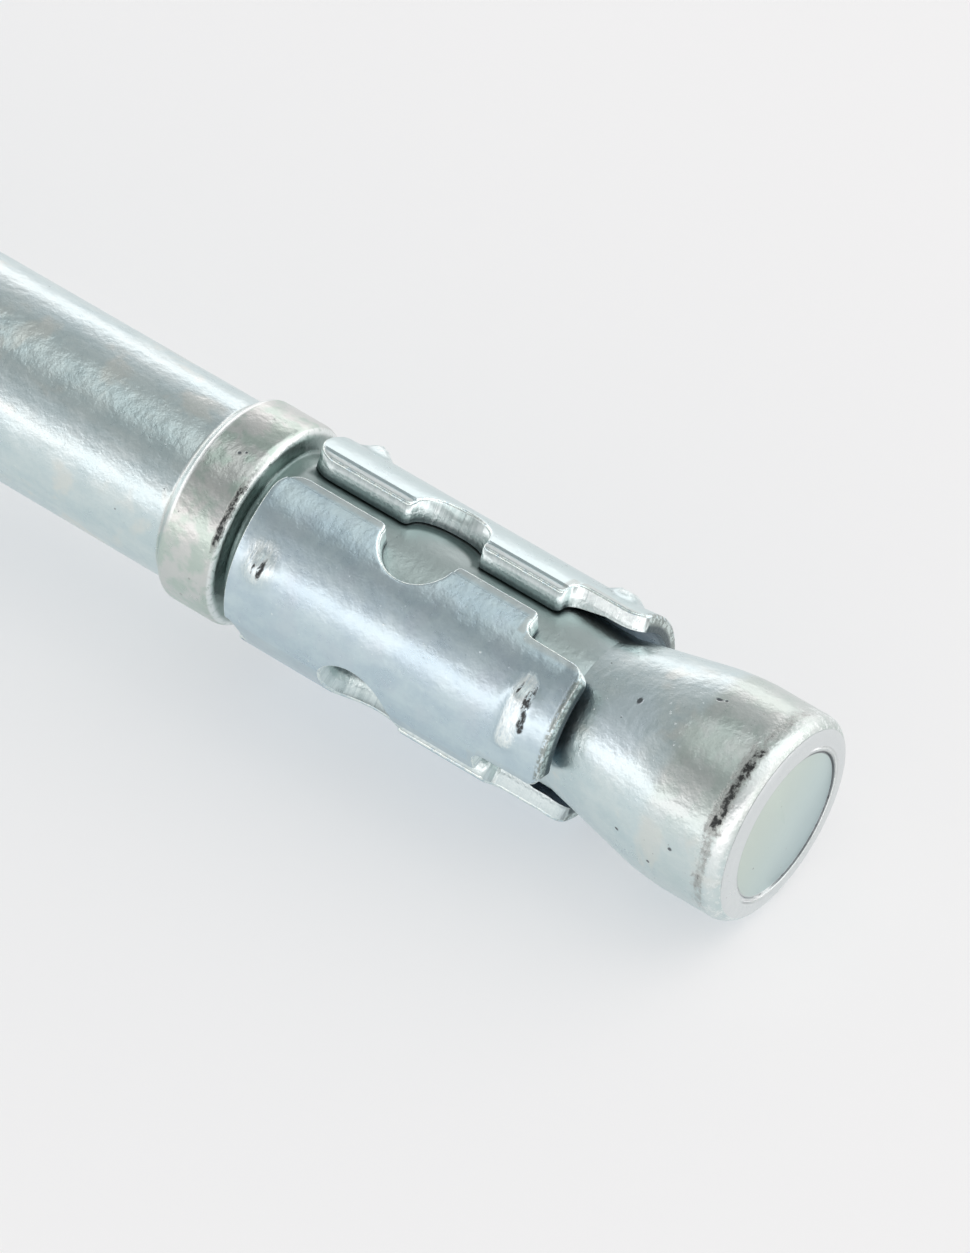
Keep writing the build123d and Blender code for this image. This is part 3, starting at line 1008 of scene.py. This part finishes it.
def forgedZinc():
    look = nutFinish
    zinc = Finish("forgedZinc")
    cloud = zinc.noise(0.45, 4, 0.6)
    grain = zinc.noise(2.8, 4, 0.65)
    # fine rings where a tool has turned the ends and their chamfers
    flat = nut["acrossFlats"] / 2
    low, high = nut["seat"], nut["seat"] + nut["height"]
    ends = zinc.height.falling(low + 0.02, low + 0.12) | zinc.height.rising(high - 0.12, high - 0.02)
    chamfer = zinc.radius.rising(flat - 0.05, flat + 0.25) * (
        zinc.height.falling(low + 0.6, low + 0.9) | zinc.height.rising(high - 0.9, high - 0.6)
    )
    turned = ends | chamfer
    place = {0: zinc.radius * 9, 1: zinc.height * 9, 2: zinc.turn * 0.01}
    rings = turned * zinc.noise(1.0, 2, 0.5, zinc.add("CombineXYZ", place))
    roots = zinc.radius.falling(6.0, 6.2) * zinc.radius.rising(5.5, 6.0)
    nicks = zinc.specks(0.55, 0.15, 0.25) | zinc.specks(1.0, 0.08, 0.3)
    zinc.colour = zinc.blend(cloud.rising(0.36, 0.62), look["cool"], look["pale"])
    zinc.paint(turned * 0.6, look["turned"])
    zinc.paint(roots, look["root"])
    zinc.paint(nicks * 0.5, look["nick"])
    roughness = 0.27 + cloud * 0.09 + grain * 0.07 - turned * 0.04 + roots * 0.15
    relief = zinc.noise(0.7, 3) * 0.02 + grain * 0.006 - nicks * 0.025 + rings * 0.012
    return zinc.finished(roughness, relief)


clipFinish = {
    "cool": (0.505, 0.625, 0.685), "pale": (0.60, 0.72, 0.755), "haze": (0.555, 0.625, 0.685),
    # upperSheen is a painted reflection, and wearAndHighlight the colour of wear and of painted
    # highlights and glints
    "upperSheen": (0.62, 0.735, 0.725), "pressed": (0.53, 0.57, 0.55), "wearAndHighlight": (0.84, 0.92, 0.91),
    # inside is painted shade, and edge a painted highlight
    "stroke": (0.085, 0.09, 0.09), "inside": (0.10, 0.15, 0.20), "edge": (0.80, 0.88, 0.85),
    # wallShade is painted shade
    "wallLight": (0.78, 0.87, 0.86), "wallDark": (0.54, 0.64, 0.635), "wallShade": (0.09, 0.12, 0.13),
    # wallHighlight is a painted highlight
    "wallHighlight": (0.88, 0.96, 0.95), "tip": (0.30, 0.345, 0.33), "tipLight": (0.66, 0.74, 0.72),
    "gloss": 0.22,
    # turn, height, half width and half length of the strokes on the front lobe's bumps
    "strokes": (
        (-59.0, 30.0, 0.56, 0.12), (-59.6, 30.38, 0.32, 0.07), (-48.0, 13.33, 0.72, 0.2),
        (-57.5, 13.22, 0.62, 0.15), (-63.0, 13.12, 0.3, 0.11), (-45.0, 14.05, 0.4, 0.07),
    ),
}


class SheetFinish(Finish):
    # a finish on the clip, with the distances that its marks follow
    def __init__(self, name):
        super().__init__(name)
        fromSeam = (self.turn - clip["seamAngle"]).math("PINGPONG", 60)
        self.across = fromSeam * (clip["radius"] * radians(1))
        self.fromLobe = (60 - fromSeam) * (clip["radius"] * radians(1))
        self.above = self.height - clip["bottom"]
        self.depth = clip["radius"] - self.radius


def coinedBand(zinc, cloud):
    # the mask of the coined bands beside the openings, and of the cut-outs' outline
    foot, half = clip["cutoutLength"], clip["cutoutHalf"]
    narrowing = clip["seam"]["gap"] / 2 - half
    reach = half + zinc.above.rising(foot - 0.35, foot + 0.15) * narrowing
    wander = (cloud - 0.5) * 0.25
    beside = (zinc.across - reach + wander).falling(0.32, 0.58)
    shoulder = zinc.above.within(foot - 0.1, foot + 0.35, 0.1) * zinc.across.falling(half, half + 0.2)
    nearSeam = zinc.turn.within(clip["seamAngle"] - 30, clip["seamAngle"] + 30, 5)
    return (beside | shoulder) * zinc.depth.falling(0.3, 0.4) * (0.3 + nearSeam * 0.7)


def bumpWearAndHighlight(zinc, grain):
    # the mask of the bumps and their shoulders, which the hole's wall rubs, painted lighter on top as a
    # painted highlight as well
    rubbedAndLit = 0
    for bump in (clip["roundBump"], clip["longBump"]):
        along = zinc.above - bump["height"]
        beyond = (zinc.fromLobe - bump["halfRun"]).atLeast(0)
        reach = (along * along + beyond * beyond) ** 0.5 + (grain - 0.5) * 0.7
        rubbedAndLit = reach.falling(bump["shoulder"] * 0.5, bump["shoulder"] * 1.15) | rubbedAndLit
    return rubbedAndLit


def rolledSheetZinc():
    look = clipFinish
    zinc = SheetFinish("rolledSheetZinc")
    cloud = zinc.noise(0.5, 4, 0.55)
    flow = zinc.noise(1.0, 3, 0.5, zinc.stretched(0.9, 0.2))
    grain = zinc.noise(3.4, 4, 0.65)
    scratch = zinc.noise(3.0, 3, 0.7, zinc.stretched(0.6, 2.4))
    band = coinedBand(zinc, cloud)
    rubbedAndLit = bumpWearAndHighlight(zinc, grain)
    strokes = 0
    for stroke in look["strokes"]:
        strokes = zinc.spot(*stroke, 1.2, 3.5, 0.3) | strokes
    strokes = strokes * (scratch * 0.5 + grain * 0.5).rising(0.42, 0.53)
    lip = (zinc.above + (grain - 0.5) * 0.4).falling(0.22, 0.4)
    specks = zinc.specks(1.1, 0.08, 0.3) | zinc.specks(2.4, 0.13, 0.3) * 0.5
    mottle = (cloud * 0.5 + flow * 0.3 + grain * 0.2).rising(0.38, 0.62)
    zinc.colour = zinc.blend(mottle, look["cool"], look["pale"])
    zinc.paint(zinc.noise(0.4, 2).rising(0.5, 0.66) * 0.3, look["haze"])
    # painted reflection: the clip's upper side paler and greener
    zinc.paint(zinc.turn.within(14, 80, 8) * 0.7, look["upperSheen"])
    zinc.paint(band * (0.35 + grain * 0.6), look["pressed"])
    # wear and a painted highlight on the bumps
    zinc.paint(rubbedAndLit * (0.3 + scratch.rising(0.36, 0.6) * 0.65), look["wearAndHighlight"])
    zinc.paint(lip * grain.rising(0.42, 0.56), look["tip"])
    # bright specks, painted glints
    zinc.paint(specks * 0.6, look["wearAndHighlight"])
    zinc.paint(strokes, look["stroke"])
    # painted shade: the sheet's inner side dark, so the gaps under the lobes and the cone under the tips
    # look shaded
    zinc.paint(zinc.depth.rising(0.7, 0.95) * 0.9, look["inside"])
    roughness = look["gloss"] + cloud * 0.06 + grain * 0.07 + rubbedAndLit * 0.05 + strokes * 0.35 + band * 0.1
    relief = (
        zinc.skin(0.045, 0.012) + flow * 0.004 + specks * 0.01 + rubbedAndLit * scratch * 0.05
        - strokes * 0.03 + lip * grain * 0.04
    )
    return zinc.finished(roughness, relief)


def rolledOverEdge():
    look = clipFinish
    zinc = SheetFinish("rolledOverEdge")
    grain = zinc.noise(2.8, 4, 0.7)
    tip = zinc.above.falling(0.1, 0.5)
    # the rolled-over edge painted lighter, a painted highlight along it
    zinc.colour = zinc.blend(grain.rising(0.35, 0.55), look["pale"], look["edge"])
    zinc.paint(tip * grain.rising(0.42, 0.56), look["tip"])
    return zinc.finished(0.2 + grain * 0.12 + tip * 0.1, grain * 0.03 + zinc.noise(1.2, 2) * 0.03)


def shearedWall():
    look = clipFinish
    zinc = SheetFinish("shearedWall")
    # the streaks are the same all the way along each radius, through the sheet's thickness
    scale = 6 / zinc.radius
    alongRadius = {0: zinc.x * scale, 1: zinc.y * scale, 2: zinc.height}
    streak = zinc.noise(2.2, 4, 0.7, zinc.add("CombineXYZ", alongRadius))
    grain = zinc.noise(4.0, 3, 0.6)
    depth = zinc.depth
    # straight walls are smooth, and those of the notches and cut-outs are streaked and brighter, and the
    # cut-outs' walls get a painted highlight
    curved = zinc.across.rising(1.08, 1.3)
    tip = zinc.above.falling(0.25, 0.5) * zinc.across.rising(3.0, 3.4)
    # painted highlight: the cut-outs' walls near white
    highlitWall = zinc.across.rising(2.0, 2.3) * zinc.above.falling(4.2, 4.6) * (1 - tip)
    torn = (depth + (grain - 0.5) * 0.25).rising(0.72, 0.9)
    ribs = streak.rising(0.40, 0.58) * (0.45 + curved * 0.4) + (grain - 0.5) * 0.6 + 0.25
    # painted shade: the inner part of the wall dark, reaching further out on the tips' walls
    deepShade = (depth + (grain - 0.5) * 0.2).rising(1.05 - tip * 0.75, 1.3 - tip * 0.75)
    zinc.colour = zinc.blend(ribs, look["wallDark"], look["wallLight"])
    zinc.paint(torn * (1 - curved * 0.6) * 0.6, look["wallDark"])
    zinc.paint(highlitWall * (0.6 + streak * 0.5), look["wallHighlight"])
    zinc.paint(tip, zinc.blend(grain.rising(0.44, 0.6), look["tip"], look["tipLight"]))
    zinc.paint(deepShade * (0.75 + tip * 0.2) * (1 - highlitWall), look["wallShade"])
    roughness = 0.22 + streak * 0.08 + torn * 0.14 + grain * 0.06 + tip * 0.15
    relief = streak * (0.015 + curved * 0.045) + (torn | tip) * grain * 0.05 + grain * 0.02
    # the punch drags the wall's outer half over, so it leans outwards, and the cut-outs' walls
    # lean the other way
    drag = (1.05 - depth).atLeast(0)
    relief = relief - drag * drag * 0.36 * (1 - (tip | highlitWall)) + highlitWall * streak * 0.03
    relief = relief + highlitWall * depth * (0.37 - zinc.turn.rising(0, 10) * 0.27)
    return zinc.finished(roughness, relief)


for piece, finishes in (
    (boltPiece, (coldFormedZinc,)), (washerPiece, (punchedZinc,)), (nutPiece, (forgedZinc,)),
    (clipPiece, (rolledSheetZinc, rolledOverEdge, shearedWall)),
):
    slots = piece.data.materials
    for index, finish in enumerate(finishes):
        if index == len(slots):
            slots.append(None)
        slots[index] = finish()
print("finishes made")

studio = {
    "floorColour": (0.59, 0.53, 0.48), "floorGlow": (0.327, 0.379, 0.425),
    "floorSize": 6.0,
    # light at each elevation in degrees
    "dome": (
        (0, (1.05, 0.97, 0.98)), (5, (1.37, 1.26, 1.27)), (9, (1.95, 1.87, 1.88)),
        (15, (2.0, 1.92, 1.93)), (19, (1.18, 1.08, 1.09)), (25, (0.76, 0.74, 0.75)),
        (31, (0.62, 0.61, 0.62)), (38, (0.61, 0.61, 0.62)), (46, (0.48, 0.49, 0.49)),
        (54, (0.34, 0.355, 0.355)), (60, (0.28, 0.29, 0.29)), (66, (0.50, 0.515, 0.515)),
        (71, (1.25, 1.29, 1.28)), (77, (1.1, 1.12, 1.12)), (90, (0.7, 0.71, 0.71)),
    ),
    "window": 0.4,  # how much stronger the light is on the head's side
    "lampBearing": 50, "lampElevation": 50, "lampDistance": 1.6, "lampSize": 1.4, "lampPower": 6,
}


def layFloor():
    bpy.ops.mesh.primitive_plane_add(size=studio["floorSize"], location=(0, 0, 0))
    floor = bpy.context.object
    floor.name = "paleFloor"
    finish = bpy.data.materials.new("paleFloor")
    finish.use_nodes = True
    ground = Graph(finish.node_tree)
    coat = {"Base Color": (*studio["floorColour"], 1), "Roughness": 0.9}
    shader = ground.add("BsdfPrincipled", coat)
    # the glow is seen directly and in the plating, and lights nothing
    rays = ground.add("LightPath", {}, None)
    seen = Value(ground, rays.outputs["Is Camera Ray"]) + Value(ground, rays.outputs["Is Glossy Ray"])
    glow = ground.add("Emission", {"Color": (*studio["floorGlow"], 1), "Strength": seen})
    both = ground.add("AddShader", {0: shader, 1: glow})
    ground.add("OutputMaterial", {"Surface": both}, None)
    floor.data.materials.append(finish)


def hangDome():
    # light that changes with elevation, and is stronger towards the head's side
    world = bpy.data.worlds.new("studio")
    bpy.context.scene.world = world
    world.use_nodes = True
    dome = Graph(world.node_tree)
    direction = dome.add("TexCoord", {}, "Generated")
    towards = dome.add("SeparateXYZ", {0: direction}, None)
    towardsX, towardsZ = Value(dome, towards.outputs[0]), Value(dome, towards.outputs[2])
    brightest = max(max(light) for _, light in studio["dome"])
    stops = [
        (sin(radians(elevation)), tuple(level / brightest for level in light))
        for elevation, light in studio["dome"]
    ]
    gradient = dome.add("ValToRGB", {0: towardsZ}, stops=stops)
    strength = brightest + towardsX.rising(-0.05, 0.6) * studio["window"]
    sky = dome.add("Background", {"Color": gradient, "Strength": strength})
    dome.add("OutputWorld", {"Surface": sky}, None)


def hangLamp():
    bearing, elevation = radians(studio["lampBearing"]), radians(studio["lampElevation"])
    direction = Vector((cos(bearing) * cos(elevation), sin(bearing) * cos(elevation), sin(elevation)))
    bpy.ops.object.light_add(type="AREA", location=direction * studio["lampDistance"])
    lamp = bpy.context.object
    lamp.name = "keyLight"
    lamp.rotation_euler = (-direction).to_track_quat("-Z", "Y").to_euler()
    lamp.data.shape = "RECTANGLE"
    lamp.data.size = lamp.data.size_y = studio["lampSize"]
    lamp.data.energy = studio["lampPower"]
    lamp.visible_camera = False


viewpoint = {
    "fromEnd": Vector((0.1498035, -0.2270401, 0.2852094)),
    "towards": Vector((-0.422853, 0.567964, -0.706125)),
    "lens": 285.03, "sensorWidth": 36.0, "nearest": 0.01, "farthest": 20,
}


def placeCamera():
    bpy.ops.object.camera_add(location=endCentre + viewpoint["fromEnd"])
    camera = bpy.context.object
    camera.rotation_euler = viewpoint["towards"].to_track_quat("-Z", "Y").to_euler()
    camera.data.sensor_fit = "HORIZONTAL"
    camera.data.sensor_width = viewpoint["sensorWidth"]
    camera.data.lens = viewpoint["lens"]
    camera.data.clip_start = viewpoint["nearest"]
    camera.data.clip_end = viewpoint["farthest"]
    bpy.context.scene.camera = camera
    bpy.context.scene.view_settings.view_transform = "Standard"


layFloor()
hangDome()
hangLamp()
placeCamera()
print("studio and camera set")
